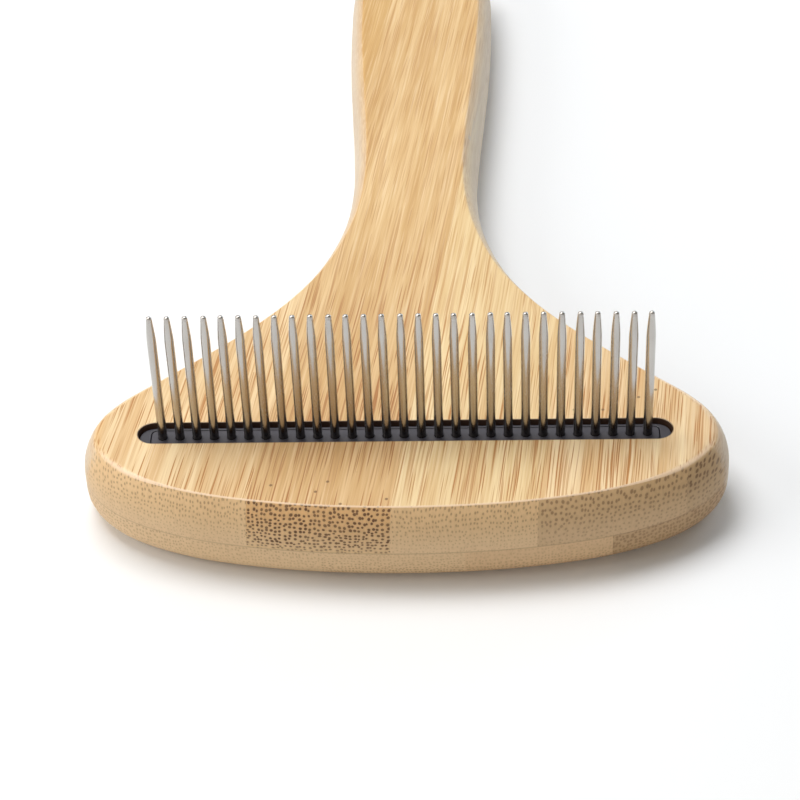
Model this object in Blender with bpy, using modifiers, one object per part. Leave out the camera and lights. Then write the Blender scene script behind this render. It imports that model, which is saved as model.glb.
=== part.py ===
"""Dematting comb: a T-shaped bamboo handle with a row of steel pins that each turn in a black cassette.

The handle is a board of two glued plies, each made of parallel bamboo strips that run at a small
angle to the handle. The pins stand in a moulded tray that fills a round-ended pocket routed into the
head, and a bored strip on top of the tray keeps their collars in.

Frame: metres, +Z up. The origin is on the flat back, under the middle of the pin row. The handle runs
along +Y, the row of pins along X, and the pins point up.
"""

import math

import bmesh
import bpy
from mathutils import Vector

MM = 0.001

# Pins
PIN_COUNT = 29
PIN_PITCH = 3.0 * MM
PIN_RADIUS = 0.8 * MM
PIN_SIDES = 10
PIN_HEIGHT = 24.6 * MM  # tip above the head's top face
TAPER_LENGTH = 5.0 * MM
TIP_RADIUS = 0.46 * MM

# Board
TOP_PLY = 8.0 * MM
BOTTOM_PLY = 7.0 * MM
BOARD = TOP_PLY + BOTTOM_PLY
STRIP_WIDTH = 24.3 * MM
STRIP_ANGLE = math.radians(6.2)
TOP_SEAM = 0.5 * MM  # where one of the top ply's seams crosses the pin row
BOTTOM_SEAM = -11.5 * MM  # the bottom ply's seams are staggered
WAIST = 86.0 * MM  # the handle's narrowest place, which the second strip misses
EDGE_BULGE = 2.8 * MM  # how far the side swells out past the top face's edge
BULGE_HEIGHT = 8.0 * MM  # where the side is widest
BOTTOM_ROUND = 5.0 * MM
GLUE_GAP = 0.3 * MM  # clearance that stands for a glue line

# Top face, right half, from the middle of the front edge to the handle's end, in millimetres
TOP_FACE_HALF = [
    (0, -20.5), (14, -19.9), (26, -18.3), (36, -15.9), (44.5, -12.2), (50.2, -7.6), (53.2, -2.0),
    (53.0, 4.0), (49.7, 9.6), (43.7, 15.7), (36.3, 23.1), (29.2, 30.9), (22.8, 39.4), (17.3, 49.3),
    (13.4, 60.2), (10.8, 72.5), (9.8, 86.5), (10.2, 101.5), (11.3, 119.0), (12.4, 137.0),
    (13.0, 155.0), (12.9, 172.0), (10.4, 184.5), (0, 190.7),
]
OUTLINE_STEPS = 3  # points on the curve for each pair of control points
ARC_STEPS = 4  # points on each arc of the board's edge

# Cassette, as depths below the top face
POCKET_HALF_LENGTH = 46.2 * MM
POCKET_HALF_WIDTH = 2.75 * MM
POCKET_DEPTH = 7.0 * MM
FIT_GAP = 0.25 * MM
RECESS = 1.0 * MM  # cassette's top below the top face
TRAY_BOTTOM = POCKET_DEPTH - FIT_GAP
TRAY_WALL = 0.45 * MM
TRAY_FLOOR = 4.65 * MM
HOLDER_HALF_LENGTH = 44.0 * MM
HOLDER_CORNER = 0.9 * MM
HOLDER_BOTTOM = TRAY_FLOOR - FIT_GAP
BORE_RADIUS = 0.98 * MM
COLLAR_RADIUS = 1.12 * MM
COLLAR_SEAT_RADIUS = 1.34 * MM
COLLAR_SEAT_TOP = 3.3 * MM
COLLAR_TOP = 3.5 * MM
COLLAR_BOTTOM = 4.4 * MM
FOOT_RADIUS = 0.5 * MM
FOOT_BOTTOM = 5.5 * MM
FOOT_SOCKET_RADIUS = 0.72 * MM
FOOT_SOCKET_BOTTOM = 5.75 * MM
HOLE_SIDES = 10
SOCKET_SIDES = 8
OVERCUT = 2.0 * MM  # how far a cutter reaches past the face it opens

PIN_XS = [(i - (PIN_COUNT - 1) / 2) * PIN_PITCH for i in range(PIN_COUNT)]


def start_scene():
    """Empties the scene and returns the collections for the comb and for its cutters."""
    for obj in list(bpy.data.objects):
        bpy.data.objects.remove(obj)
    collections = []
    for name in ("dematting_comb", "cutters"):
        collection = bpy.data.collections.new(name)
        bpy.context.scene.collection.children.link(collection)
        collections.append(collection)
    return collections


def principled(name, colour, roughness, metallic=0.0):
    material = bpy.data.materials.new(name)
    material.use_nodes = True
    shader = material.node_tree.nodes["Principled BSDF"]
    shader.inputs["Base Color"].default_value = (*colour, 1.0)
    shader.inputs["Roughness"].default_value = roughness
    shader.inputs["Metallic"].default_value = metallic
    return material


def add_object(name, mesh, collection, material=None):
    obj = bpy.data.objects.new(name, mesh)
    collection.objects.link(obj)
    if material:
        mesh.materials.append(material)
    return obj


def mesh_from(bm, name):
    mesh = bpy.data.meshes.new(name)
    bmesh.ops.recalc_face_normals(bm, faces=bm.faces)
    bm.to_mesh(mesh)
    bm.free()
    return mesh


def add_cutter(name, mesh, collection):
    cutter = add_object(name, mesh, collection)
    cutter.hide_render = True
    cutter.display_type = "WIRE"
    return cutter


def boolean(obj, operation, cutter):
    modifier = obj.modifiers.new(cutter.name, "BOOLEAN")
    modifier.operation = operation
    modifier.object = cutter


# Outlines ------------------------------------------------------------------------------------------


def smooth_loop(points, steps):
    """Closed Catmull-Rom curve through the points."""
    count = len(points)
    curve = []
    for i in range(count):
        p0, p1, p2, p3 = (points[(i + k) % count] for k in (-1, 0, 1, 2))
        for step in range(steps):
            t = step / steps
            curve.append(
                0.5 * (2 * p1 + (p2 - p0) * t + (2 * p0 - 5 * p1 + 4 * p2 - p3) * t**2
                       + (3 * p1 - p0 - 3 * p2 + p3) * t**3)
            )
    return curve


def top_face_outline():
    right = [Vector(p) * MM for p in TOP_FACE_HALF]
    left = [Vector((-p.x, p.y)) for p in right[-2:0:-1]]
    return smooth_loop(right + left, OUTLINE_STEPS)


def offset_loop(loop, distance):
    """The counter-clockwise loop moved outwards by the distance."""
    moved = []
    for i, point in enumerate(loop):
        along = (loop[(i + 1) % len(loop)] - loop[i - 1]).normalized()
        moved.append(point + Vector((along.y, -along.x)) * distance)
    return moved


def rounded_slot(half_length, half_width, corner, steps):
    """Rectangle with round corners along X; a corner as large as the half width makes round ends."""
    loop = []
    for quadrant in range(4):
        side_x, side_y = ((1, 1), (-1, 1), (-1, -1), (1, -1))[quadrant]
        centre = Vector((side_x * (half_length - corner), side_y * (half_width - corner)))
        for step in range(steps + 1):
            angle = (quadrant + step / steps) * math.pi / 2
            point = centre + corner * Vector((math.cos(angle), math.sin(angle)))
            if not loop or (point - loop[-1]).length > 0.01 * MM:
                loop.append(point)
    if (loop[0] - loop[-1]).length < 0.01 * MM:
        loop.pop()
    return loop


# Solids --------------------------------------------------------------------------------------------


def prism(name, loop, bottom, top):
    bm = bmesh.new()
    face = bm.faces.new([bm.verts.new((p.x, p.y, bottom)) for p in loop])
    extruded = bmesh.ops.extrude_face_region(bm, geom=[face])["geom"]
    raised = [item for item in extruded if isinstance(item, bmesh.types.BMVert)]
    bmesh.ops.translate(bm, verts=raised, vec=(0, 0, top - bottom))
    return mesh_from(bm, name)


def loft(name, loop, profile):
    """Solid whose section at each height is the loop offset outwards: profile is (offset, height)."""
    bm = bmesh.new()
    rings = []
    for outwards, height in profile:
        ring = [bm.verts.new((p.x, p.y, height)) for p in offset_loop(loop, outwards)]
        rings.append([bm.edges.new((ring[i - 1], ring[i])) for i in range(len(ring))])
        if height in (profile[0][1], profile[-1][1]):
            bm.faces.new(ring)
    for lower, upper in zip(rings, rings[1:]):
        bmesh.ops.bridge_loops(bm, edges=lower + upper)
    return mesh_from(bm, name)


def cylinders(name, radius, bottom, top, sides):
    """One cylinder on each pin's axis, as one cutter mesh."""
    bm = bmesh.new()
    for x in PIN_XS:
        made = bmesh.ops.create_cone(
            bm, cap_ends=True, segments=sides, radius1=radius, radius2=radius, depth=top - bottom
        )
        bmesh.ops.translate(bm, verts=made["verts"], vec=(x, 0, (bottom + top) / 2))
    return mesh_from(bm, name)


def level(depth):
    """Height above the back of a depth below the top face."""
    return BOARD - depth


# Board ---------------------------------------------------------------------------------------------


def edge_offset(height):
    """How far the board's side stands outside the top face's edge at this height."""
    if height >= BULGE_HEIGHT:
        rise = BOARD - BULGE_HEIGHT
        radius = (rise**2 + EDGE_BULGE**2) / (2 * EDGE_BULGE)
        return EDGE_BULGE - radius + math.sqrt(radius**2 - (height - BULGE_HEIGHT) ** 2)
    if height >= BOTTOM_ROUND:
        return EDGE_BULGE
    drop = BOTTOM_ROUND - height
    return EDGE_BULGE - BOTTOM_ROUND + math.sqrt(BOTTOM_ROUND**2 - drop**2)


def top_ply_profile():
    rise = BOARD - BULGE_HEIGHT
    heights = [BOTTOM_PLY + GLUE_GAP / 2]
    heights += [BULGE_HEIGHT + rise * step / ARC_STEPS for step in range(ARC_STEPS + 1)]
    return [(edge_offset(height), height) for height in heights]


def bottom_ply_profile():
    angles = [math.pi / 2 * step / ARC_STEPS for step in range(ARC_STEPS + 1)]
    heights = [BOTTOM_ROUND * (1 - math.cos(angle)) for angle in angles]
    heights.append(BOTTOM_PLY - GLUE_GAP / 2)
    return [(edge_offset(height), height) for height in heights]


def strip_box(name, left_seam, right_seam, near, far, collection):
    """Cutter that keeps what lies between two slanted seams, given by their X at Y 0, and two ends."""
    lean = math.tan(STRIP_ANGLE)
    inset = GLUE_GAP / 2 / math.cos(STRIP_ANGLE)
    corners = []
    for seam, y in ((left_seam + inset, near), (right_seam - inset, near),
                    (right_seam - inset, far), (left_seam + inset, far)):
        corners.append(Vector((seam + lean * y, y)))
    return add_cutter(name, prism(name, corners, -BOARD, 2 * BOARD), collection)


def add_strips(ply, strips, material, comb, cutters, pocket=None):
    """Cuts one ply into its strips, each given as (name, left seam, right seam, near end, far end)."""
    for name, left, right, near, far in strips:
        strip = add_object(name, ply.copy(), comb, material)
        boolean(strip, "INTERSECT", strip_box(f"{name}_bounds", left, right, near, far, cutters))
        if pocket:
            boolean(strip, "DIFFERENCE", pocket)


def add_board(comb, cutters):
    outline = top_face_outline()
    seam_step = STRIP_WIDTH / math.cos(STRIP_ANGLE)
    beyond = 400 * MM
    top = [TOP_SEAM + k * seam_step for k in (-2, -1, 0, 1, 2)]
    bottom = [BOTTOM_SEAM + k * seam_step for k in (-1, 0, 1, 2)]
    top_strips = [
        ("top_strip_1", -beyond, top[0], -beyond, beyond),
        ("top_strip_2", top[0], top[1], -beyond, WAIST),
        ("top_strip_3", top[1], top[2], -beyond, beyond),
        ("top_strip_4", top[2], top[3], -beyond, beyond),
        ("top_strip_5", top[3], top[4], -beyond, beyond),
        ("top_strip_6", top[4], beyond, -beyond, beyond),
        ("top_strip_7_handle", top[0], top[1], WAIST, beyond),
    ]
    bottom_strips = [
        ("bottom_strip_1", -beyond, bottom[0], -beyond, beyond),
        ("bottom_strip_2", bottom[0], bottom[1], -beyond, beyond),
        ("bottom_strip_3", bottom[1], bottom[2], -beyond, beyond),
        ("bottom_strip_4", bottom[2], bottom[3], -beyond, beyond),
        ("bottom_strip_5", bottom[3], beyond, -beyond, beyond),
    ]
    pocket_loop = rounded_slot(POCKET_HALF_LENGTH, POCKET_HALF_WIDTH, POCKET_HALF_WIDTH, 6)
    pocket_mesh = prism("pocket_cutter", pocket_loop, level(POCKET_DEPTH), BOARD + OVERCUT)
    pocket = add_cutter("pocket_cutter", pocket_mesh, cutters)
    top_bamboo = principled("bamboo_top", (0.80, 0.58, 0.33), 0.5)
    bottom_bamboo = principled("bamboo_bottom", (0.70, 0.52, 0.31), 0.55)
    add_strips(loft("top_ply", outline, top_ply_profile()), top_strips, top_bamboo, comb, cutters, pocket)
    add_strips(loft("bottom_ply", outline, bottom_ply_profile()), bottom_strips, bottom_bamboo, comb, cutters)


# Cassette ------------------------------------------------------------------------------------------


def add_cassette(comb, cutters):
    black = principled("cassette_black", (0.02, 0.02, 0.025), 0.35)
    tray_half_width = POCKET_HALF_WIDTH - FIT_GAP
    inner_half_width = tray_half_width - TRAY_WALL
    holder_half_width = inner_half_width - FIT_GAP

    tray_loop = rounded_slot(POCKET_HALF_LENGTH - FIT_GAP, tray_half_width, tray_half_width, 5)
    tray = add_object("pin_tray", prism("pin_tray", tray_loop, level(TRAY_BOTTOM), level(RECESS)), comb, black)
    room_loop = rounded_slot(HOLDER_HALF_LENGTH + FIT_GAP, inner_half_width, HOLDER_CORNER + FIT_GAP, 2)
    room = prism("holder_room", room_loop, level(TRAY_FLOOR), BOARD + OVERCUT)
    boolean(tray, "DIFFERENCE", add_cutter("holder_room", room, cutters))
    sockets = cylinders(
        "foot_sockets", FOOT_SOCKET_RADIUS, level(FOOT_SOCKET_BOTTOM), level(TRAY_FLOOR - FIT_GAP), SOCKET_SIDES
    )
    boolean(tray, "DIFFERENCE", add_cutter("foot_sockets", sockets, cutters))

    holder_loop = rounded_slot(HOLDER_HALF_LENGTH, holder_half_width, HOLDER_CORNER, 2)
    holder_mesh = prism("pin_holder", holder_loop, level(HOLDER_BOTTOM), level(RECESS))
    holder = add_object("pin_holder", holder_mesh, comb, black)
    seats = cylinders(
        "collar_seats", COLLAR_SEAT_RADIUS, level(HOLDER_BOTTOM + OVERCUT), level(COLLAR_SEAT_TOP), HOLE_SIDES
    )
    boolean(holder, "DIFFERENCE", add_cutter("collar_seats", seats, cutters))
    bores = cylinders("pin_bores", BORE_RADIUS, level(HOLDER_BOTTOM + OVERCUT), BOARD + OVERCUT, HOLE_SIDES)
    boolean(holder, "DIFFERENCE", add_cutter("pin_bores", bores, cutters))


# Pins ----------------------------------------------------------------------------------------------


def pin_profile():
    """Right half of a pin from tip to foot, as (radius, height above the collar's underside)."""
    base = level(COLLAR_BOTTOM)
    tip = BOARD + PIN_HEIGHT - base
    dome = TIP_RADIUS
    return [
        (0, tip),
        (TIP_RADIUS * 0.7, tip - dome * 0.3),
        (TIP_RADIUS, tip - dome),
        ((TIP_RADIUS + PIN_RADIUS) / 2 + 0.05 * MM, tip - TAPER_LENGTH * 0.5),
        (PIN_RADIUS, tip - TAPER_LENGTH),
        (PIN_RADIUS, level(COLLAR_TOP) - base),
        (COLLAR_RADIUS, level(COLLAR_TOP) - base),
        (COLLAR_RADIUS, 0),
        (FOOT_RADIUS, 0),
        (FOOT_RADIUS, level(FOOT_BOTTOM) - base),
        (0, level(FOOT_BOTTOM) - base),
    ]


def add_pins(comb):
    steel = principled("pin_steel", (0.62, 0.60, 0.57), 0.3, metallic=1.0)
    mesh = bpy.data.meshes.new("pin_profile")
    points = [(radius, 0, height) for radius, height in pin_profile()]
    mesh.from_pydata(points, [(i, i + 1) for i in range(len(points) - 1)], [])
    mesh.materials.append(steel)
    for number, x in enumerate(PIN_XS, start=1):
        pin = add_object(f"pin_{number:02d}", mesh, comb)
        pin.location = (x, 0, level(COLLAR_BOTTOM))
        turn = pin.modifiers.new("turn", "SCREW")
        turn.steps = turn.render_steps = PIN_SIDES
        turn.use_merge_vertices = True
        turn.merge_threshold = 0.00001
        turn.use_smooth_shade = False


comb_collection, cutter_collection = start_scene()
add_board(comb_collection, cutter_collection)
add_cassette(comb_collection, cutter_collection)
add_pins(comb_collection)
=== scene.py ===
import math
import random

import bmesh
import bpy
from mathutils import Euler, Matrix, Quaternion, Vector


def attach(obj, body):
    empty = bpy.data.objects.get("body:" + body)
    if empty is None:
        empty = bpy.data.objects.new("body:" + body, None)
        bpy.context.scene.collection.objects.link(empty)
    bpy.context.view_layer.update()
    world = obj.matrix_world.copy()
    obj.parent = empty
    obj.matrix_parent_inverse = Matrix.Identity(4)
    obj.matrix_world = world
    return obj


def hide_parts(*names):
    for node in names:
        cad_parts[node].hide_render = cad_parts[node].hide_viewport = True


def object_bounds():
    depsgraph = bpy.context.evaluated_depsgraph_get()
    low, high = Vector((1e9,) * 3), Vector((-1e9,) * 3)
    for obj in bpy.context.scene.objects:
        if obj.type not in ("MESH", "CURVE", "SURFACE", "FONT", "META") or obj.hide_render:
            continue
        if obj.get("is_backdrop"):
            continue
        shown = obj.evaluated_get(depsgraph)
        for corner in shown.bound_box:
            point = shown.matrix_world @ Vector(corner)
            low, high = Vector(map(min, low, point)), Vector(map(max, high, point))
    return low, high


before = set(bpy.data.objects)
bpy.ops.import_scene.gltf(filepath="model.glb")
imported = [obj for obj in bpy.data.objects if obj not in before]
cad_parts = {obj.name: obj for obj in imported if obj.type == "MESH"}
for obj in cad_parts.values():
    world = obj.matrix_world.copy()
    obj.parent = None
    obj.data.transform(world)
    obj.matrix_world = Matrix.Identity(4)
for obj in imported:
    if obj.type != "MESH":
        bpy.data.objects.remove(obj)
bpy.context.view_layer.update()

# Board --------------------------------------------------------------------------------------------
# The handle is laminated bamboo board: two plies of strips, glued and pressed, with the grain a few
# degrees off the handle's line. It is sawn to a T, its side is rounded over and sanded, and a
# round-ended slot is routed across the head for the pins.

MM = 0.001
BOARD_THICK = 15.0 * MM
PLY_JOINT = 7.0 * MM
SIDE_SWELL = 2.8 * MM
SWELL_HEIGHT = 8.0 * MM
BACK_ROUND = 5.0 * MM
BLANK_RADIUS = 50 * MM
# right half of the top face's edge in millimetres, from the head's front to the handle's end
TOP_FACE_HALF = [
    (0, -20.5), (14, -19.9), (26, -18.3), (36, -15.9), (44.5, -12.2), (50.2, -7.6), (53.2, -2.0),
    (53.0, 4.0), (49.7, 9.6), (43.7, 15.7), (36.3, 23.1), (29.2, 30.9), (22.8, 39.4), (17.3, 49.3),
    (13.4, 60.2), (10.8, 72.5), (9.8, 86.5), (10.2, 101.5), (11.3, 119.0), (12.4, 137.0),
    (13.0, 155.0), (12.9, 172.0), (10.4, 184.5), (0, 190.7),
]
EDGE_STEPS = 9
SIDE_STEPS = 9
BACK_STEPS = 7
SAME_HEIGHT = 2e-6
LEAST_INSET = 1e-6
FLAT = 0.99


def only(*pieces):
    """Deselects everything, then selects these pieces, the last one active."""
    if bpy.context.object and bpy.context.object.mode != "OBJECT":
        bpy.ops.object.mode_set(mode="OBJECT")
    bpy.ops.object.select_all(action="DESELECT")
    for piece in pieces:
        piece.select_set(True)
        bpy.context.view_layer.objects.active = piece


def edit(piece, part="FACE"):
    """Opens the piece in edit mode with nothing selected."""
    only(piece)
    bpy.ops.object.mode_set(mode="EDIT")
    bpy.ops.mesh.select_mode(type=part)
    bpy.ops.mesh.select_all(action="DESELECT")


def done():
    """Closes edit mode."""
    bpy.ops.object.mode_set(mode="OBJECT")


def pick_faces(piece, wanted):
    """In edit mode, selects the faces whose middle and normal are wanted."""
    bpy.ops.mesh.select_mode(type="FACE")
    bpy.ops.mesh.select_all(action="DESELECT")
    shape = bmesh.from_edit_mesh(piece.data)
    for face in shape.faces:
        if wanted(face.calc_center_median(), face.normal):
            face.select_set(True)
    bmesh.update_edit_mesh(piece.data)


def step_face(piece, height, facing, inward, travel):
    """Insets the flat end face at this height, and moves it on along its normal."""
    pick_faces(piece, lambda middle, normal: (
        abs(middle.z - height) < SAME_HEIGHT and normal.z * facing > FLAT))
    bpy.ops.mesh.inset(thickness=max(inward, LEAST_INSET), depth=travel)


def draw_out(travel):
    """In edit mode, extrudes what is selected straight up, or down if travel is negative."""
    bpy.ops.mesh.extrude_region_move(TRANSFORM_OT_translate={"value": (0, 0, travel)})


def face_outwards():
    """In edit mode, turns every face outwards."""
    bpy.ops.mesh.select_all(action="SELECT")
    bpy.ops.mesh.normals_make_consistent(inside=False)


def thicken(plate, travel):
    """Gives a flat plate its thickness, up or down, and turns its faces outwards."""
    edit(plate)
    bpy.ops.mesh.select_all(action="SELECT")
    draw_out(travel)
    face_outwards()
    done()


def top_face_edge():
    """The top face's edge as a smooth closed curve, up the right side and down the left."""
    right = [Vector(point) * MM for point in TOP_FACE_HALF]
    points = right + [Vector((-point.x, point.y)) for point in right[-2:0:-1]]
    curve = []
    for i in range(len(points)):
        before, here, after, beyond = (points[(i + k) % len(points)] for k in (-1, 0, 1, 2))
        for step in range(EDGE_STEPS):
            t = step / EDGE_STEPS
            curve.append(0.5 * (2 * here + (after - before) * t
                                + (2 * before - 5 * here + 4 * after - beyond) * t**2
                                + (3 * here - before - 3 * after + beyond) * t**3))
    return curve


# A round blank at the board's widest level is drawn out to the outline and given its thickness.
edge = top_face_edge()
only()
bpy.ops.mesh.primitive_circle_add(
    vertices=len(edge), radius=BLANK_RADIUS, fill_type="NGON", location=(0, 0, SWELL_HEIGHT))
board = bpy.context.object
board.name = board.data.name = "board"
bpy.ops.object.transform_apply(location=True)
for i, vert in enumerate(board.data.vertices):
    along = (edge[(i + 1) % len(edge)] - edge[i - 1]).normalized()
    vert.co.xy = edge[i] + Vector((along.y, -along.x)) * SIDE_SWELL
thicken(board, BACK_ROUND - SWELL_HEIGHT)

# The side is rounded over, in an arc up to the top face and a quarter round down to the back.
rise = BOARD_THICK - SWELL_HEIGHT
arc = (rise**2 + SIDE_SWELL**2) / (2 * SIDE_SWELL)
edit(board)
levels = [rise * k / SIDE_STEPS for k in range(SIDE_STEPS + 1)]
for low, high in zip(levels, levels[1:]):
    inward = math.sqrt(arc**2 - low**2) - math.sqrt(arc**2 - high**2)
    step_face(board, SWELL_HEIGHT + low, 1, inward, high - low)
turns = [math.radians(90 * k / BACK_STEPS) for k in range(BACK_STEPS + 1)]
for low, high in zip(turns, turns[1:]):
    inward = BACK_ROUND * (math.cos(low) - math.cos(high))
    drop = BACK_ROUND * (math.sin(high) - math.sin(low))
    step_face(board, BACK_ROUND * (1 - math.sin(low)), -1, inward, drop)
done()

# The rim of the top face is eased with sandpaper, and the head's two ends are sanded rounder.
RIM_SANDED = 0.26 * MM
ENDS_SANDED = 0.95 * MM
ENDS_FROM = 38 * MM
ENDS_BLEND = 13 * MM

sanded = board.data.attributes.new("bevel_weight_edge", "FLOAT", "EDGE")
for rim in board.data.edges:
    a, b = (board.data.vertices[k].co for k in rim.vertices)
    if min(a.z, b.z) > BOARD_THICK - SAME_HEIGHT:
        to_end = min(max((abs(a.x + b.x) / 2 - ENDS_FROM) / ENDS_BLEND, 0), 1)
        width = RIM_SANDED + (ENDS_SANDED - RIM_SANDED) * to_end**2 * (3 - 2 * to_end)
        sanded.data[rim.index].value = width / ENDS_SANDED
easing = board.modifiers.new("eased rim", "BEVEL")
easing.limit_method = "WEIGHT"
easing.width = ENDS_SANDED
easing.segments = 4
easing.use_clamp_overlap = False
only(board)
bpy.ops.object.modifier_apply(modifier=easing.name)

# The slot is routed with round ends, and its mouth is eased with a touch of sandpaper.
SLOT_HALF_LENGTH = 46.2 * MM
SLOT_HALF_WIDTH = 2.75 * MM
SLOT_FLOOR = 8.0 * MM
MOUTH_EASED = 0.16 * MM
MOUTH_FROM = 0.3 * MOUTH_EASED
PAST_THE_WORK = 1 * MM


def carve(piece, tool):
    """Cuts the tool's shape out of the piece, and puts the tool away."""
    only(piece)
    cutting = piece.modifiers.new("carve", "BOOLEAN")
    cutting.operation = "DIFFERENCE"
    cutting.solver = "EXACT"
    cutting.object = tool
    bpy.ops.object.modifier_apply(modifier=cutting.name)
    bpy.data.objects.remove(tool)


def round_ended(name, half_length, half_width, height, sides=48):
    """A flat round-ended plate along X: a disc with its two halves moved apart."""
    only()
    bpy.ops.mesh.primitive_circle_add(
        vertices=sides, radius=half_width, fill_type="NGON", location=(0, 0, height),
        rotation=(0, 0, math.pi / sides))
    plate = bpy.context.object
    plate.name = plate.data.name = name
    bpy.ops.object.transform_apply(location=True, rotation=True)
    for side in (-1, 1):
        edit(plate, "VERT")
        shape = bmesh.from_edit_mesh(plate.data)
        for vert in shape.verts:
            vert.select_set(vert.co.x * side > 0)
        shape.select_flush_mode()
        bmesh.update_edit_mesh(plate.data)
        bpy.ops.transform.translate(value=(side * (half_length - half_width), 0, 0))
    done()
    return plate


router = round_ended(
    "router", SLOT_HALF_LENGTH + 2 * MOUTH_EASED, SLOT_HALF_WIDTH + 2 * MOUTH_EASED,
    BOARD_THICK + PAST_THE_WORK)
thicken(router, MOUTH_FROM - PAST_THE_WORK)
edit(router)
step_face(router, BOARD_THICK + MOUTH_FROM, -1, MOUTH_EASED, 1.5 * MOUTH_FROM)
step_face(router, BOARD_THICK - 0.5 * MOUTH_FROM, -1, MOUTH_EASED, 1.6 * MOUTH_EASED)
pick_faces(router, lambda middle, normal: (
    normal.z < -FLAT and middle.z < BOARD_THICK - MOUTH_EASED))
draw_out(SLOT_FLOOR - BOARD_THICK + 0.5 * MOUTH_FROM + 1.6 * MOUTH_EASED)
done()
carve(board, router)

# The board is then parted into its plies and strips along the glue lines, a hair apart. The second
# upper strip runs out of the board at the waist, so its far end is a strip of its own.
GRAIN_ANGLE = math.radians(6.2)
STRIP_WIDTH = 24.3 * MM
SEAM_STEP = STRIP_WIDTH / math.cos(GRAIN_ANGLE)
TOP_SEAM = 0.5 * MM
BACK_SEAM = -11.5 * MM
WAIST = 86 * MM
GLUE_FILM = 0.001 * MM
WASTE_BLOCK = 600 * MM
SMOOTH_ANGLE = math.radians(35)


def another(piece, name):
    """A copy of the piece with a mesh of its own."""
    twin = piece.copy()
    twin.data = piece.data.copy()
    twin.name = twin.data.name = name
    bpy.context.scene.collection.objects.link(twin)
    return twin


def smooth(piece):
    """Shades round faces smooth and keeps flat faces flat."""
    only(piece)
    bpy.ops.object.shade_smooth_by_angle(angle=SMOOTH_ANGLE)
    weighting = piece.modifiers.new("flat faces", "WEIGHTED_NORMAL")
    weighting.keep_sharp = True
    bpy.ops.object.modifier_apply(modifier=weighting.name)


def part_off(piece, point, normal):
    """Cuts the piece off square at a plane: a block on the normal's side takes the rest away."""
    only()
    bpy.ops.mesh.primitive_cube_add(
        size=WASTE_BLOCK, location=Vector(point) + Vector(normal) * WASTE_BLOCK / 2,
        rotation=Vector(normal).to_track_quat("Z", "Y").to_euler())
    block = bpy.context.object
    bpy.ops.object.transform_apply(location=True, rotation=True)
    carve(piece, block)


def strip_of(name, ply, left, right, near=None, far=None):
    """One strip of a ply between two slanted seams, given by where they cross the pin row."""
    strip = another(board, name)
    across = Vector((math.cos(GRAIN_ANGLE), -math.sin(GRAIN_ANGLE), 0))
    if left is not None:
        part_off(strip, (left + GLUE_FILM, 0, 0), -across)
    if right is not None:
        part_off(strip, (right - GLUE_FILM, 0, 0), across)
    if ply == "upper":
        part_off(strip, (0, 0, PLY_JOINT + GLUE_FILM / 2), (0, 0, -1))
    else:
        part_off(strip, (0, 0, PLY_JOINT - GLUE_FILM / 2), (0, 0, 1))
    if near is not None:
        part_off(strip, (0, near, 0), (0, -1, 0))
    if far is not None:
        part_off(strip, (0, far, 0), (0, 1, 0))
    smooth(strip)
    return strip


top = [None, *(TOP_SEAM + k * SEAM_STEP for k in (-2, -1, 0, 1, 2)), None]
back = [None, *(BACK_SEAM + k * SEAM_STEP for k in (-1, 0, 1, 2)), None]
strips = {}
for k in (1, 2, 3, 4, 5, 6):
    strips[f"top_strip_{k}"] = strip_of(
        f"bamboo_top_{k}", "upper", top[k - 1], top[k], far=WAIST if k == 2 else None)
strips["top_strip_7_handle"] = strip_of(
    "bamboo_top_7_handle", "upper", top[1], top[2], near=WAIST)
for k in (1, 2, 3, 4, 5):
    strips[f"bottom_strip_{k}"] = strip_of(f"bamboo_back_{k}", "lower", back[k - 1], back[k])
bpy.data.objects.remove(board)


def wire(tree, kind, settings=None, **fills):
    """Adds a node to the tree, sets it, and fills its inputs with values or nodes' outputs."""
    node = tree.nodes.new("ShaderNode" + kind)
    for setting, value in (settings or {}).items():
        setattr(node, setting, value)
    for name, value in fills.items():
        by_number = name[1:].isdigit()
        socket = node.inputs[int(name[1:]) if by_number else name.replace("_", " ")]
        if isinstance(value, bpy.types.NodeSocket):
            tree.links.new(value, socket)
        else:
            socket.default_value = value
    return node


def maths(tree, sum_of, a, b=0.0, c=0.0):
    """One sum on values or nodes' outputs."""
    return wire(tree, "Math", {"operation": sum_of}, i0=a, i1=b, i2=c).outputs[0]


def times(tree, *factors):
    """All the factors multiplied together."""
    product = factors[0]
    for factor in factors[1:]:
        product = maths(tree, "MULTIPLY", product, factor)
    return product


def ramp(tree, value, start, end, low=0.0, high=1.0):
    """A soft change from low to high as the value goes from start to end."""
    return wire(tree, "MapRange", {"interpolation_type": "SMOOTHSTEP"},
                i0=value, i1=start, i2=end, i3=low, i4=high).outputs[0]


def paint(tree, amount, under, over):
    """Lays one colour over another by an amount."""
    return wire(tree, "Mix", {"data_type": "RGBA"}, i0=amount, i6=under, i7=over).outputs[2]


def parts(tree, vector):
    """The X, Y and Z of a vector."""
    return wire(tree, "SeparateXYZ", i0=vector).outputs


def cloud(tree, place, across, along, deep, detail=2.0, roughness=0.5):
    """Noise drawn out along the grain: its cells per millimetre in each direction."""
    drawn = wire(tree, "VectorMath", {"operation": "MULTIPLY"}, i0=place, i1=(across, along, deep))
    return wire(tree, "TexNoise", Vector=drawn.outputs[0], Scale=1.0, Detail=detail,
                Roughness=roughness).outputs[0]


def new_group(name, takes, gives):
    """An empty node group, with its inputs and outputs given as label: kind."""
    group = bpy.data.node_groups.new(name, "ShaderNodeTree")
    for side, sockets in (("INPUT", takes), ("OUTPUT", gives)):
        for label, kind in sockets.items():
            group.interface.new_socket(label, in_out=side, socket_type="NodeSocket" + kind)
    return group, group.nodes.new("NodeGroupInput"), group.nodes.new("NodeGroupOutput")


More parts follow.
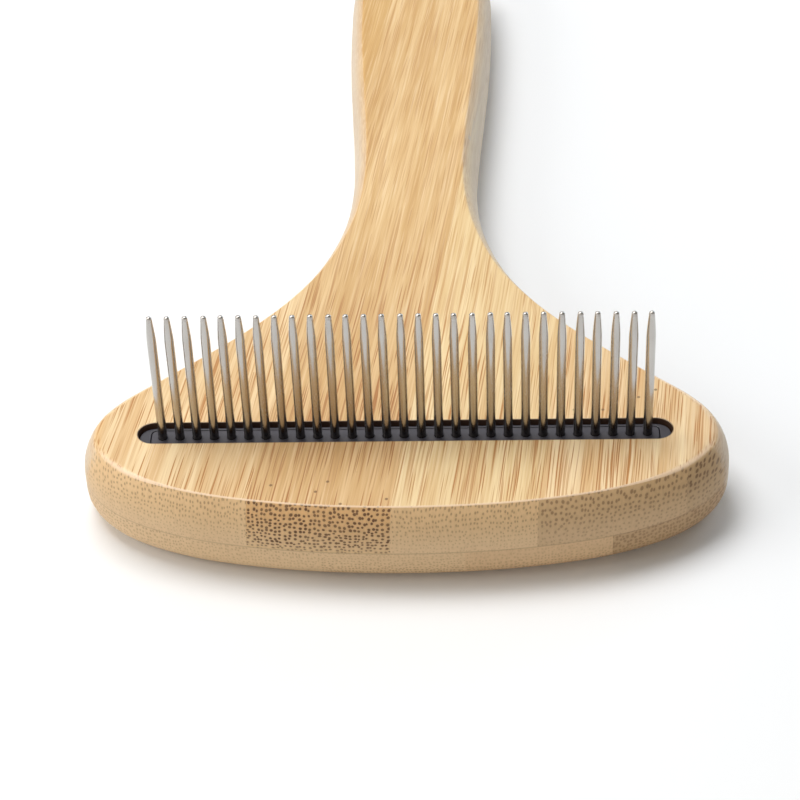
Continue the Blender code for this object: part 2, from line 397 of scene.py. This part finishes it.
# Bamboo: the wood's tubes run along the grain as dark bundles. They show as dots where the strip is
# cut across, and as broken spindle-shaped streaks on its long faces. Lengths are in millimetres.
# how far a face turns before it shows end grain, and before it is painted the greyer side colour as
# shade
CUT_TILT = (0.24, 0.46)
SIDE_SHADE_TILT = (0.85, 0.35)
# dots: how far their rows wander, and where their edge and their halo fade, in dot radii
ROW_WANDER = (1.6, 1.1)
DOT_EDGE = (1.2, 0.7)
HALO_EDGE = (2.4, 1.0)
# streaks: width, length and the share that is missing, then their sideways swim and their edge
STREAK_KINDS = [(0.31, 15.0, 0.1), (0.36, 28.0, 0.22), (0.55, 46.0, 0.45)]
STREAK_SWIM = 0.9
STREAK_EDGE = (0.46, 0.22)
SPECK_EDGE = (0.062, 0.03)

BLEACHED_FIBRE = (0.97, 0.8, 0.56, 1)
SPECK_BROWN = (0.12, 0.055, 0.02, 1)
WEATHERED = (0.5, 0.3, 0.13, 1)

bamboo_grain, takes, gives = new_group(
    "bamboo_grain",
    {"Place": "Vector", "Facing": "Vector", "Pale Wood": "Color", "Tan Wood": "Color",
     "Side Wood": "Color", "Cut Wood": "Color", "Cut Wood Low": "Color", "Bundle": "Color",
     "Streak": "Color", "Bundle Spacing": "Float", "Bundle Stretch": "Float",
     "Bundle Size": "Float", "Bundle Depth": "Float", "Streak Depth": "Float",
     "Speck Depth": "Float", "Fade Low": "Float", "Fade High": "Float"},
    {"Color": "Color", "Roughness": "Float", "Height": "Float"})
tree = bamboo_grain
inlet = takes.outputs
place = inlet["Place"]
across, along, height = parts(tree, place)
_, lengthways, upwards = parts(tree, inlet["Facing"])
ragged = maths(tree, "MULTIPLY_ADD", cloud(tree, place, 1.2, 0.4, 1.2), 0.3, -0.15)
end_grain = ramp(
    tree, maths(tree, "ADD", maths(tree, "ABSOLUTE", lengthways), ragged), *CUT_TILT)
shaded_side = ramp(tree, maths(tree, "ABSOLUTE", upwards), *SIDE_SHADE_TILT)

# end grain: one dot for each bundle, in loose rows, smaller and fainter to one side of the strip
sway = maths(tree, "SUBTRACT", cloud(tree, place, 0.16, 0.03, 0.16, 1.0), 0.5)
lift = maths(tree, "SUBTRACT", cloud(tree, place, 0.12, 0.05, 0.25, 1.0), 0.5)
spacing = inlet["Bundle Spacing"]
column = maths(tree, "DIVIDE", maths(tree, "MULTIPLY_ADD", sway, ROW_WANDER[0], across), spacing)
row = maths(tree, "DIVIDE", maths(tree, "MULTIPLY_ADD", lift, ROW_WANDER[1], height),
            times(tree, spacing, inlet["Bundle Stretch"]))
section = wire(tree, "CombineXYZ", i0=column, i1=row).outputs[0]
cells = wire(tree, "TexVoronoi", {"voronoi_dimensions": "2D"},
             Vector=section, Scale=1.0, Randomness=0.6)
cell_kind = wire(tree, "SeparateColor", i0=cells.outputs["Color"]).outputs[0]
fading = ramp(tree, height, inlet["Fade Low"], inlet["Fade High"])
reach = times(tree, inlet["Bundle Size"], maths(tree, "MULTIPLY_ADD", cell_kind, 0.3, 0.85),
              maths(tree, "MULTIPLY_ADD", fading, 0.3, 0.7))
from_middle = maths(
    tree, "DIVIDE", cells.outputs["Distance"], maths(tree, "DIVIDE", reach, spacing))
spot = ramp(tree, from_middle, *DOT_EDGE)
halo = ramp(tree, from_middle, *HALO_EDGE)
strong = maths(tree, "MULTIPLY_ADD", cloud(tree, place, 0.35, 0.05, 0.35), 0.7, 0.6)
dots = times(tree, spot, inlet["Bundle Depth"], strong,
             maths(tree, "MULTIPLY_ADD", fading, 0.65, 0.35))


def spindles(width, length, missing):
    """Thin streaks with tapered ends that swim along the grain, where it meets a long face."""
    swim = times(tree, cloud(tree, place, 0.3, 0.03, 0.3, 1.0), STREAK_SWIM)
    slid = wire(tree, "CombineXYZ", i0=maths(tree, "ADD", across, swim), i1=along, i2=height)
    drawn = wire(tree, "VectorMath", {"operation": "DIVIDE"},
                 i0=slid.outputs[0], i1=(width, length, width))
    found = wire(tree, "TexVoronoi", Vector=drawn.outputs[0], Scale=1.0, Randomness=1.0)
    kind = wire(tree, "SeparateColor", i0=found.outputs["Color"]).outputs[1]
    return times(tree, ramp(tree, found.outputs["Distance"], *STREAK_EDGE),
                 ramp(tree, kind, missing, 1.0, 0.0, 1.1))


# long faces: pale and tan bands, fine fibre, streaks, and here and there a small dark speck
fibre = cloud(tree, place, 3.0, 0.05, 3.0, 3.0, 0.62)
band = cloud(tree, place, 0.5, 0.013, 0.4, 2.0, 0.6)
streak = spindles(*STREAK_KINDS[0])
for streak_kind in STREAK_KINDS[1:]:
    streak = maths(tree, "MAXIMUM", streak, spindles(*streak_kind))
streak = times(tree, streak, inlet["Streak Depth"])
flat_place = wire(tree, "VectorMath", {"operation": "MULTIPLY"}, i0=place, i1=(0.17, 0.15, 0.0))
holes = wire(tree, "TexVoronoi", {"voronoi_dimensions": "2D"},
             Vector=flat_place.outputs[0], Scale=1.0, Randomness=1.0)
hole_kind = wire(tree, "SeparateColor", i0=holes.outputs["Color"]).outputs[0]
speck = times(tree, ramp(tree, holes.outputs["Distance"], *SPECK_EDGE),
              ramp(tree, hole_kind, 0.22, 0.3), inlet["Speck Depth"])
long_face = paint(tree, ramp(tree, band, 0.34, 0.64), inlet["Pale Wood"], inlet["Tan Wood"])
long_face = paint(tree, ramp(tree, fibre, 0.45, 0.75, 0.0, 0.3), long_face, inlet["Streak"])
long_face = paint(tree, ramp(tree, fibre, 0.5, 0.3, 0.0, 0.35), long_face, BLEACHED_FIBRE)
long_face = paint(tree, streak, long_face, inlet["Streak"])
long_face = paint(tree, speck, long_face, SPECK_BROWN)
# faces turned from up are painted greyer and darker: painted shade on the sides
long_face = paint(tree, times(tree, shaded_side, 0.7), long_face, inlet["Side Wood"])

mottled = cloud(tree, place, 2.2, 0.3, 1.1, 3.0, 0.6)
cut_face = paint(tree, ramp(tree, height, 7.5, 14.0), inlet["Cut Wood Low"], inlet["Cut Wood"])
cut_face = paint(tree, times(tree, halo, inlet["Bundle Depth"], 0.12), cut_face, inlet["Bundle"])
cut_face = paint(tree, ramp(tree, mottled, 0.4, 0.7, 0.0, 0.13), cut_face, inlet["Bundle"])
cut_face = paint(tree, dots, cut_face, inlet["Bundle"])

patch = cloud(tree, place, 0.08, 0.02, 0.08, 1.0)
wood = paint(tree, end_grain, long_face, cut_face)
wood = paint(tree, ramp(tree, patch, 0.35, 0.7, 0.0, 0.1), wood, WEATHERED)
satin = maths(tree, "ADD", ramp(tree, fibre, 0.3, 0.7, 0.38, 0.52), times(tree, end_grain, 0.12))
sunk = maths(tree, "MULTIPLY_ADD", speck, 1.5, maths(tree, "MAXIMUM", dots, streak))
relief = maths(tree, "SUBTRACT", times(tree, fibre, 0.5), sunk)
tree.links.new(wood, gives.inputs["Color"])
tree.links.new(satin, gives.inputs["Roughness"])
tree.links.new(relief, gives.inputs["Height"])

# Each strip is from its own cane, so it has its own tone, dots and stretch of grain. The streaks
# thin out from the head to the handle.
PER_MM = (1000, 1000, 1000)
SHIFT_ALONG = 7.3
STREAKS_THIN = (18 * MM, 62 * MM, 1.0, 0.42)
SPECKS_WITHIN = (5 * MM, 4 * MM)
FRONT_REACH = (32 * MM, -8 * MM)
FRONT_BROWN = (0.55, 0.3, 0.1, 1)
SCORCH_AND_SHADE = (0.05, 0.02, 0.008, 1)
RIM_HIGHLIGHT = (0.98, 0.77, 0.58, 1)
GLUE_BROWN = (0.25, 0.15, 0.08, 1)


# side is the greyer, darker colour of faces turned from up: painted shade
def bamboo(name, shift, pale=(0.9, 0.69, 0.4), tan=(0.76, 0.51, 0.25), side=(0.6, 0.525, 0.43),
           cut=(0.76, 0.52, 0.275), cut_low=(0.73, 0.52, 0.3), bundle=(0.3, 0.175, 0.08),
           streak=(0.5, 0.22, 0.06), spacing=0.61, stretch=1.3, size=0.15, depth=0.66,
           streaks=1.0, specks=0.0, speck_line=0.0, fade=(7.0, 14.0), front_tone=0.0):
    """Bamboo for one strip, with its own cane's tone and its own stretch of grain."""
    material = bpy.data.materials.new(name)
    material.use_nodes = True
    tree = material.node_tree
    shader = tree.nodes["Principled BSDF"]
    where = wire(tree, "TexCoord").outputs
    place = wire(tree, "Mapping", i0=where["Object"], Rotation=(0, 0, GRAIN_ANGLE),
                 Scale=PER_MM, Location=(shift, shift * SHIFT_ALONG, 0))
    x, y, z = parts(tree, where["Object"])
    _, lengthways, facing_up = parts(tree, where["Normal"])
    on_head = ramp(tree, y, *STREAKS_THIN)
    from_line = maths(tree, "ABSOLUTE", maths(tree, "SUBTRACT", y, speck_line))
    near_line = ramp(tree, from_line, *SPECKS_WITHIN)
    grain = wire(
        tree, "Group", {"node_tree": bamboo_grain}, Place=place.outputs[0],
        Facing=where["Normal"], Pale_Wood=(*pale, 1), Tan_Wood=(*tan, 1), Side_Wood=(*side, 1),
        Cut_Wood=(*cut, 1), Cut_Wood_Low=(*cut_low, 1), Bundle=(*bundle, 1), Streak=(*streak, 1),
        Bundle_Spacing=spacing, Bundle_Stretch=stretch, Bundle_Size=size, Bundle_Depth=depth,
        Streak_Depth=times(tree, on_head, streaks), Speck_Depth=times(tree, near_line, specks),
        Fade_Low=fade[0], Fade_High=fade[1]).outputs

    # the top is a little browner near the front on some strips
    tone = times(tree, ramp(tree, y, *FRONT_REACH, 0.0, front_tone),
                 ramp(tree, facing_up, 0.9, 0.99))
    colour = paint(tree, tone, grain["Color"], FRONT_BROWN)

    # the router scorches the slot's wall; the dark band reaching onto the top face is painted shade
    past = maths(tree, "SUBTRACT", maths(tree, "ABSOLUTE", x), SLOT_HALF_LENGTH - SLOT_HALF_WIDTH)
    past = maths(tree, "MAXIMUM", past, 0.0)
    away = maths(tree, "SQRT", maths(
        tree, "ADD", maths(tree, "POWER", past, 2.0), maths(tree, "POWER", y, 2.0)))
    scorch_and_shade = ramp(tree, away, SLOT_HALF_WIDTH + 0.36 * MM, SLOT_HALF_WIDTH + 0.12 * MM)
    colour = paint(tree, scorch_and_shade, colour, SCORCH_AND_SHADE)

    # the sanded rim of the top face is painted pale along the front, a painted highlight
    tilted = times(tree, ramp(tree, facing_up, 0.999, 0.98), ramp(tree, facing_up, 0.7, 0.75))
    at_top = ramp(tree, z, BOARD_THICK - 0.6 * MM, BOARD_THICK - 0.25 * MM)
    to_front = ramp(tree, maths(tree, "ABSOLUTE", lengthways), 0.12, 0.3)
    colour = paint(tree, times(tree, tilted, at_top, to_front, 0.58), colour, RIM_HIGHLIGHT)

    # the glue between the plies shows as a thin darker line round the side
    from_glue = maths(tree, "ABSOLUTE", maths(tree, "SUBTRACT", z, PLY_JOINT))
    glue = ramp(tree, from_glue, 0.2 * MM, 0.06 * MM)
    colour = paint(tree, times(tree, glue, 0.3), colour, GLUE_BROWN)

    tree.links.new(colour, shader.inputs["Base Color"])
    tree.links.new(grain["Roughness"], shader.inputs["Roughness"])
    relief = wire(tree, "Bump", Height=grain["Height"], Strength=0.3, Distance=0.03 * MM)
    tree.links.new(relief.outputs[0], shader.inputs["Normal"])
    return material


finishes = {
    "top_strip_1": bamboo("bamboo_top_1", 3),
    "top_strip_2": bamboo("bamboo_top_2", 41),
    "top_strip_3": bamboo(
        "bamboo_top_3", 87, pale=(0.82, 0.585, 0.305), tan=(0.69, 0.445, 0.195),
        cut=(0.74, 0.45, 0.2), cut_low=(0.72, 0.5, 0.27), bundle=(0.13, 0.055, 0.02),
        streak=(0.42, 0.165, 0.045), spacing=0.82, stretch=0.8, size=0.265, depth=0.95,
        specks=0.85, speck_line=-16 * MM, fade=(6.2, 8.8), front_tone=0.2),
    "top_strip_4": bamboo(
        "bamboo_top_4", 131, pale=(0.92, 0.735, 0.425), tan=(0.79, 0.57, 0.285)),
    "top_strip_5": bamboo(
        "bamboo_top_5", 177, pale=(0.92, 0.72, 0.435), cut=(0.64, 0.43, 0.225),
        cut_low=(0.62, 0.43, 0.245), bundle=(0.22, 0.12, 0.055), spacing=0.76, stretch=1.15,
        size=0.215, depth=0.72, specks=0.7, speck_line=9 * MM),
    "top_strip_6": bamboo(
        "bamboo_top_6", 219, pale=(0.83, 0.61, 0.35), tan=(0.72, 0.49, 0.25),
        cut=(0.56, 0.375, 0.195), cut_low=(0.56, 0.385, 0.215), bundle=(0.16, 0.08, 0.035),
        spacing=0.76, stretch=1.15, size=0.23, depth=0.85),
    "top_strip_7_handle": bamboo(
        "bamboo_top_7_handle", 263, pale=(0.72, 0.475, 0.205), tan=(0.64, 0.395, 0.155),
        streaks=0.6),
    "bottom_strip_1": bamboo("bamboo_back_1", 305, size=0.17, depth=0.45, fade=(-2.0, 7.0)),
    "bottom_strip_2": bamboo("bamboo_back_2", 351, size=0.16, depth=0.35, fade=(-2.0, 7.0)),
    "bottom_strip_3": bamboo(
        "bamboo_back_3", 399, cut=(0.74, 0.52, 0.3), stretch=1.0, size=0.19, depth=0.6,
        fade=(7.5, 1.0)),
    "bottom_strip_4": bamboo(
        "bamboo_back_4", 441, cut=(0.7, 0.49, 0.28), cut_low=(0.7, 0.48, 0.27), size=0.19,
        depth=0.5, fade=(7.5, 1.0)),
    "bottom_strip_5": bamboo(
        "bamboo_back_5", 487, pale=(0.76, 0.54, 0.3), cut=(0.54, 0.36, 0.195),
        cut_low=(0.54, 0.36, 0.195), size=0.22, depth=0.75, fade=(-4.0, 7.0)),
}
for node, strip in strips.items():
    strip.data.materials.clear()
    strip.data.materials.append(finishes[node])
    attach(strip, "handle")
    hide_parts(node)

# Pin tray -----------------------------------------------------------------------------------------
# A moulded black plastic trough, round-ended to fill the slot and glued in it. Its rim stands a
# millimetre below the wood, and its floor has a blind socket for the foot of each pin.

TRAY_TOP = 14.0 * MM
TRAY_FOOT = 8.25 * MM
TRAY_HALF_LENGTH = 46.0 * MM
TRAY_HALF_WIDTH = 2.55 * MM
TRAY_FLOOR = 10.35 * MM
TRAY_EASED = 0.09 * MM
HOLDER_HALF_LENGTH = 44.0 * MM
HOLDER_HALF_WIDTH = 1.85 * MM
HOLDER_CORNER = 0.9 * MM
HOLDER_FOOT = 10.6 * MM
FIT = 0.14 * MM
SOCKET = 0.72 * MM
SOCKET_FLOOR = 9.25 * MM
PIN_COUNT = 29
PIN_PITCH = 3.0 * MM
pin_places = [(k - (PIN_COUNT - 1) / 2) * PIN_PITCH for k in range(PIN_COUNT)]


def square_ended(name, half_length, half_width, corner, height):
    """A flat plate along X with four round corners."""
    only()
    bpy.ops.mesh.primitive_plane_add(size=2, location=(0, 0, height))
    plate = bpy.context.object
    plate.name = plate.data.name = name
    plate.scale = (half_length, half_width, 1)
    bpy.ops.object.transform_apply(location=True, scale=True)
    edit(plate, "VERT")
    bpy.ops.mesh.select_all(action="SELECT")
    bpy.ops.mesh.bevel(
        offset=corner, offset_type="OFFSET", segments=6, affect="VERTICES", profile=0.5)
    done()
    return plate


def turned(name, profile, sides):
    """A piece turned about the Z axis: a disc drawn on from one (radius, height) to the next."""
    only()
    radius, height = profile[0]
    bpy.ops.mesh.primitive_circle_add(
        vertices=sides, radius=radius, fill_type="NGON", location=(0, 0, height))
    piece = bpy.context.object
    piece.name = piece.data.name = name
    bpy.ops.object.transform_apply(location=True)
    edit(piece)
    bpy.ops.mesh.select_all(action="SELECT")
    for (last_radius, last_height), (radius, height) in zip(profile, profile[1:]):
        draw_out(height - last_height)
        bpy.ops.transform.resize(
            value=(radius / last_radius, radius / last_radius, 1), center_override=(0, 0, height))
    face_outwards()
    done()
    return piece


def row_of(tool):
    """One joined mesh with the tool set at every pin's place."""
    copies = []
    for number, x in enumerate(pin_places):
        one = another(tool, f"{tool.name}_{number}")
        one.location.x = x
        copies.append(one)
    bpy.data.objects.remove(tool)
    only(*copies)
    bpy.ops.object.join()
    bpy.ops.object.transform_apply(location=True)
    return bpy.context.object


def pick_edges(piece, wanted):
    """In edit mode, selects the edges whose two ends are both wanted."""
    bpy.ops.mesh.select_mode(type="EDGE")
    bpy.ops.mesh.select_all(action="DESELECT")
    shape = bmesh.from_edit_mesh(piece.data)
    for edge in shape.edges:
        if all(wanted(vert.co) for vert in edge.verts):
            edge.select_set(True)
    bmesh.update_edit_mesh(piece.data)


def ease_top(piece, width, segments):
    """Takes the sharpness off every edge at the level of the tray's top."""
    edit(piece)
    pick_edges(piece, lambda place: abs(place.z - TRAY_TOP) < SAME_HEIGHT)
    bpy.ops.mesh.bevel(offset=width, segments=segments, profile=0.5)
    done()


tray = round_ended("pin_tray_black", TRAY_HALF_LENGTH, TRAY_HALF_WIDTH, TRAY_TOP, 64)
thicken(tray, TRAY_FOOT - TRAY_TOP)
room = square_ended(
    "room", HOLDER_HALF_LENGTH + FIT, HOLDER_HALF_WIDTH + FIT, HOLDER_CORNER + FIT, TRAY_FLOOR)
thicken(room, BOARD_THICK - TRAY_FLOOR)
carve(tray, room)
carve(tray, row_of(turned("socket", [(SOCKET, SOCKET_FLOOR), (SOCKET, HOLDER_FOOT)], 16)))
ease_top(tray, TRAY_EASED, 2)
smooth(tray)

# Moulded black plastic, shared by tray and holder: satin, with a fine spark-eroded texture and a
# little dust and rubbing.
moulded_skin, takes, gives = new_group(
    "moulded_skin",
    {"Place": "Vector", "Plastic": "Color", "Dust": "Color", "Dust Amount": "Float",
     "Roughness": "Float"},
    {"Color": "Color", "Roughness": "Float", "Height": "Float"})
tree = moulded_skin
inlet = takes.outputs
sparkle = wire(tree, "TexNoise", Vector=inlet["Place"], Scale=9.0, Detail=3.0, Roughness=0.6)
settle = wire(tree, "TexNoise", Vector=inlet["Place"], Scale=0.7, Detail=4.0, Roughness=0.65)
rubbed = wire(tree, "TexNoise", Vector=inlet["Place"], Scale=0.25, Detail=2.0, Roughness=0.5)
dust = times(tree, ramp(tree, settle.outputs[0], 0.48, 0.75), inlet["Dust Amount"])
worn = maths(tree, "ADD", times(tree, dust, 0.8),
             ramp(tree, rubbed.outputs[0], 0.35, 0.7, -0.04, 0.06))
tree.links.new(paint(tree, dust, inlet["Plastic"], inlet["Dust"]), gives.inputs["Color"])
tree.links.new(maths(tree, "ADD", inlet["Roughness"], worn), gives.inputs["Roughness"])
tree.links.new(sparkle.outputs[0], gives.inputs["Height"])


def black_plastic(name, colour, roughness):
    """Moulded plastic in this colour, with a film of dust."""
    material = bpy.data.materials.new(name)
    material.use_nodes = True
    tree = material.node_tree
    shader = tree.nodes["Principled BSDF"]
    where = wire(tree, "TexCoord")
    place = wire(tree, "Mapping", i0=where.outputs["Object"], Scale=PER_MM)
    skin = wire(
        tree, "Group", {"node_tree": moulded_skin}, Place=place.outputs[0], Plastic=(*colour, 1),
        Dust=(0.2, 0.19, 0.18, 1), Dust_Amount=0.1, Roughness=roughness)
    tree.links.new(skin.outputs["Color"], shader.inputs["Base Color"])
    tree.links.new(skin.outputs["Roughness"], shader.inputs["Roughness"])
    relief = wire(
        tree, "Bump", Height=skin.outputs["Height"], Strength=0.35, Distance=0.02 * MM)
    tree.links.new(relief.outputs[0], shader.inputs["Normal"])
    return material


tray.data.materials.clear()
tray.data.materials.append(black_plastic("tray_plastic", (0.048, 0.047, 0.061), 0.42))
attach(tray, "handle")
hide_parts("pin_tray")

# Pin holder ---------------------------------------------------------------------------------------
# A square-ended strip of the same black plastic, bored for the pins and pressed into the tray over
# their collars. Each bore is eased at its mouth, and widens below into a seat for the collar.

HOLDER_EASED = 0.14 * MM
BORE = 0.83 * MM
BORE_EASED = 0.05 * MM
SEAT = 1.34 * MM
SEAT_TOP = 11.7 * MM
SEAT_TAPER = 0.3 * MM

holder = square_ended(
    "pin_holder_black", HOLDER_HALF_LENGTH, HOLDER_HALF_WIDTH, HOLDER_CORNER, TRAY_TOP)
thicken(holder, HOLDER_FOOT - TRAY_TOP)
ease_top(holder, HOLDER_EASED, 3)
bore = turned("bore", [
    (SEAT, HOLDER_FOOT - PAST_THE_WORK), (SEAT, SEAT_TOP), (BORE, SEAT_TOP + SEAT_TAPER),
    (BORE, TRAY_TOP - BORE_EASED), (BORE + BORE_EASED, TRAY_TOP),
    (BORE + BORE_EASED, TRAY_TOP + PAST_THE_WORK)], 28)
carve(holder, row_of(bore))
smooth(holder)
holder.data.materials.clear()
holder.data.materials.append(black_plastic("holder_plastic", (0.058, 0.056, 0.072), 0.38))
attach(holder, "handle")
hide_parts("pin_holder")

# Pins ---------------------------------------------------------------------------------------------
# Twenty-nine steel pins, turned from 1.6 mm wire: a foot that stands in the tray's socket, a collar
# that the holder keeps in, a plain shank, and a long taper to a small domed tip. Each pin turns.

WIRE = 0.8 * MM
SHANK_FOOT = 11.5 * MM
SHANK_STEPS = 4
TIP = 39.6 * MM
TIP_WIDTH = 0.47 * MM
TAPER = 5.2 * MM
TAPER_STEPS = 8
TAPER_CURVE = 1.35
DOME = 0.3 * MM
DOME_TURN = 84
DOME_STEPS = 5
# the foot and the collar, as radius and height in millimetres
FOOT_AND_COLLAR = [
    (0.34, 9.5), (0.5, 9.66), (0.5, 10.6), (1.04, 10.6), (1.12, 10.68), (1.12, 11.42), (1.04, 11.5),
]

profile = [(radius * MM, height * MM) for radius, height in FOOT_AND_COLLAR]
profile.append((WIRE, SHANK_FOOT))
for k in range(1, SHANK_STEPS + 1):
    profile.append((WIRE, SHANK_FOOT + k / SHANK_STEPS * (TIP - TAPER - SHANK_FOOT)))
for k in range(1, TAPER_STEPS + 1):
    t = k / TAPER_STEPS
    profile.append((WIRE - (WIRE - TIP_WIDTH) * t**TAPER_CURVE, TIP - TAPER + t * (TAPER - DOME)))
for k in range(1, DOME_STEPS + 1):
    turn = math.radians(DOME_TURN * k / DOME_STEPS)
    risen = math.sin(turn) / math.sin(math.radians(DOME_TURN))
    profile.append((TIP_WIDTH * math.cos(turn), TIP - DOME + DOME * risen))
pin = turned("pin", profile, 32)
only(pin)
bpy.ops.object.shade_smooth_by_angle(angle=math.radians(32))

# Polished steel: drawn along the wire, a little dulled by handling and at the ground tip, and dark
# with painted shade where it stands in its bore.
BRIGHT_STEEL = (0.55, 0.53, 0.505, 1)
HANDLED_STEEL = (0.47, 0.445, 0.415, 1)
ROOT_SHADE = (0.1, 0.085, 0.075, 1)

steel = bpy.data.materials.new("pin_steel_polished")
steel.use_nodes = True
tree = steel.node_tree
shader = tree.nodes["Principled BSDF"]
where = wire(tree, "TexCoord")
place = wire(tree, "Mapping", i0=where.outputs["Object"], Scale=PER_MM).outputs[0]
drawn = cloud(tree, place, 6.0, 6.0, 0.35, 3.0, 0.6)
handled = cloud(tree, place, 0.6, 0.6, 0.12, 3.0, 0.6)
up = parts(tree, place)[2]
tint = paint(tree, ramp(tree, handled, 0.35, 0.7, 0.0, 0.5), BRIGHT_STEEL, HANDLED_STEEL)
# the steel is painted dark towards its root: painted shade where it stands in the black plastic
tint = paint(tree, ramp(tree, up, 18.0, 14.2, 0.0, 0.75), tint, ROOT_SHADE)
dulled = maths(tree, "ADD", ramp(tree, handled, 0.4, 0.75, 0.0, 0.08),
               ramp(tree, up, 38.4, 39.3, 0.0, 0.14))
polish = maths(tree, "ADD", ramp(tree, drawn, 0.3, 0.7, 0.15, 0.23), dulled)
tree.links.new(tint, shader.inputs["Base Color"])
tree.links.new(polish, shader.inputs["Roughness"])
shader.inputs["Metallic"].default_value = 1.0
relief = wire(tree, "Bump", Height=drawn, Strength=0.12, Distance=0.01 * MM)
tree.links.new(relief.outputs[0], shader.inputs["Normal"])
pin.data.materials.clear()
pin.data.materials.append(steel)

# Each pin stands a touch out of true, by the play it has in its bore.
PLAY_ALONG = 0.15
PLAY_ACROSS = 0.28

play = random.Random(29)
for number, x in enumerate(pin_places, start=1):
    one = another(pin, f"steel_pin_{number:02d}")
    lean = Euler((math.radians(play.uniform(-PLAY_ALONG, PLAY_ALONG)),
                  math.radians(play.uniform(-PLAY_ACROSS, PLAY_ACROSS)), 0))
    one.rotation_euler = lean
    one.location = Vector((x, 0, TRAY_TOP)) - lean.to_matrix() @ Vector((0, 0, TRAY_TOP))
    only(one)
    bpy.ops.object.transform_apply(location=True, rotation=True)
    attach(one, f"pin_{number:02d}_body")
    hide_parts(f"pin_{number:02d}")
bpy.data.objects.remove(pin)

# Studio -------------------------------------------------------------------------------------------
# The comb lies on a white table under a large soft light from behind and to the left, a window on
# the left, and two weaker cards. The room is dim and warm, with white walls past the table.

TABLE_SIZE = 14
TABLE_DROP = 0.02 * MM
# how far from the comb the table starts and ends its fade to the white of the walls
TABLE_FADES = (0.32, 1.5)

only()
bpy.ops.mesh.primitive_plane_add(size=TABLE_SIZE, location=(0, 0, -TABLE_DROP))
table = bpy.context.object
table.name = "table"
white = bpy.data.materials.new("table_white")
white.use_nodes = True
tree = white.node_tree
shader = tree.nodes["Principled BSDF"]
where = wire(tree, "TexCoord").outputs["Object"]
mottle = wire(tree, "TexNoise", Vector=where, Scale=3.0, Detail=2.0).outputs[0]
cover = paint(
    tree, ramp(tree, mottle, 0.3, 0.7), (0.905, 0.932, 0.972, 1), (0.925, 0.948, 0.982, 1))
away = wire(tree, "VectorMath", {"operation": "LENGTH"}, i0=where).outputs["Value"]
glow = paint(tree, ramp(tree, away, *TABLE_FADES), (0, 0, 0, 1), (0.9, 0.91, 0.92, 1))
tree.links.new(cover, shader.inputs["Base Color"])
tree.links.new(glow, shader.inputs["Emission Color"])
shader.inputs["Emission Strength"].default_value = 1.0
shader.inputs["Roughness"].default_value = 0.6
table.data.materials.append(white)
table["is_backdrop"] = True


def soft_light(name, place, aim, size, power, colour):
    """A rectangular soft light on a stand, turned to face its aim."""
    lamp = bpy.data.lights.new(name, "AREA")
    lamp.shape = "RECTANGLE"
    lamp.size, lamp.size_y = size
    lamp.energy = power
    lamp.color = colour
    stand = bpy.data.objects.new(name, lamp)
    bpy.context.scene.collection.objects.link(stand)
    stand.location = place
    stand.rotation_euler = (Vector(aim) - Vector(place)).to_track_quat("-Z", "Y").to_euler()


soft_light("overhead", (-0.3, 0.4, 1.1), (0, 0.02, 0), (0.9, 0.6), 11.8, (1.0, 0.985, 0.965))
soft_light("left_window", (-1.15, -0.12, 0.65), (0, 0, 0.01), (0.9, 0.8), 7.0, (1.0, 0.99, 0.97))
soft_light("front_card", (-0.25, -1.2, 0.55), (0, 0, 0.01), (0.8, 0.6), 2.2, (1.0, 0.97, 0.92))
soft_light("back_right_card", (0.75, 1.0, 0.5), (0.06, 0, 0), (0.8, 0.6), 4.0, (0.64, 0.81, 1.0))

world = bpy.data.worlds.new("room")
bpy.context.scene.world = world
world.use_nodes = True
tree = world.node_tree
dim_room = tree.nodes["Background"]
dim_room.inputs["Color"].default_value = (1.0, 0.905, 0.75, 1)
dim_room.inputs["Strength"].default_value = 0.2
white_wall = wire(tree, "Background", Color=(0.98, 0.985, 1.0, 1), Strength=0.95)
seen = wire(tree, "LightPath").outputs["Is Camera Ray"]
room_light = wire(tree, "MixShader", i0=seen, i1=dim_room.outputs[0], i2=white_wall.outputs[0])
tree.links.new(room_light.outputs[0], tree.nodes["World Output"].inputs["Surface"])
bpy.context.scene.view_settings.view_transform = "Standard"

# The camera has a longer lens, and looks down along the handle from the pins' end.
CAMERA_TURN = 2.86
CAMERA_DOWN = 37.07
CAMERA_ROLL = -2.33

lens = bpy.data.cameras.new("camera")
lens.lens = 104.3
lens.sensor_width = 36
lens.clip_start = 0.01
camera = bpy.data.objects.new("camera", lens)
bpy.context.scene.collection.objects.link(camera)
camera.rotation_mode = "QUATERNION"
camera.location = (0.0153, -0.3163, 0.2609)
camera.rotation_quaternion = (
    Quaternion((0, 0, 1), math.radians(CAMERA_TURN))
    @ Quaternion((1, 0, 0), math.radians(90 - CAMERA_DOWN))
    @ Quaternion((0, 0, 1), math.radians(CAMERA_ROLL)))
bpy.context.scene.camera = camera

low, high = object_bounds()
